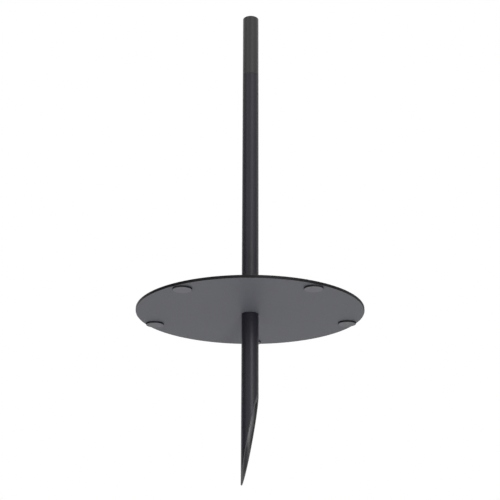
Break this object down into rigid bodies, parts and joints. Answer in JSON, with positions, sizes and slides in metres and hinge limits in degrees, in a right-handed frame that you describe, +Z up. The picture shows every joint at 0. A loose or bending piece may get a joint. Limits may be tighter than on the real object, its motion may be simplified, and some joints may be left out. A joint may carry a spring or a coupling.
{
  "type": "ground spike",
  "caption": "Ground spike for a garden lamp: a slant-cut tube spike under a round base plate on pads, with a tube pole above that ends in a threaded socket.",
  "frame": {"origin": "centre of the base plate's underside, at ground level, on the axis of the spike and the pole", "axes": "+Z up along the pole, away from the ground; -Y faces the viewer of the picture"},
  "size_m": [0.2, 0.2, 0.446],
  "materials": {
    "powder_coat": "satin",
    "top_coat": "satin",
    "pad_rubber": "matte",
    "bush_steel": "satin",
    "stud_steel": "satin"
  },
  "bodies": {
    "root": {"base_plate": "powder_coat", "pole_tube": "powder_coat", "spike_tube": "powder_coat", "top_tube": "top_coat", "foot_pad_1": "pad_rubber", "foot_pad_2": "pad_rubber", "foot_pad_3": "pad_rubber", "foot_pad_4": "pad_rubber", "foot_pad_5": "pad_rubber", "spike_bush": "bush_steel", "pole_foot_bush": "bush_steel", "pole_head_bush": "bush_steel", "top_foot_bush": "bush_steel", "top_head_bush": "bush_steel", "plate_stud": "stud_steel", "pole_stud": "stud_steel"}
  },
  "joints": []
}
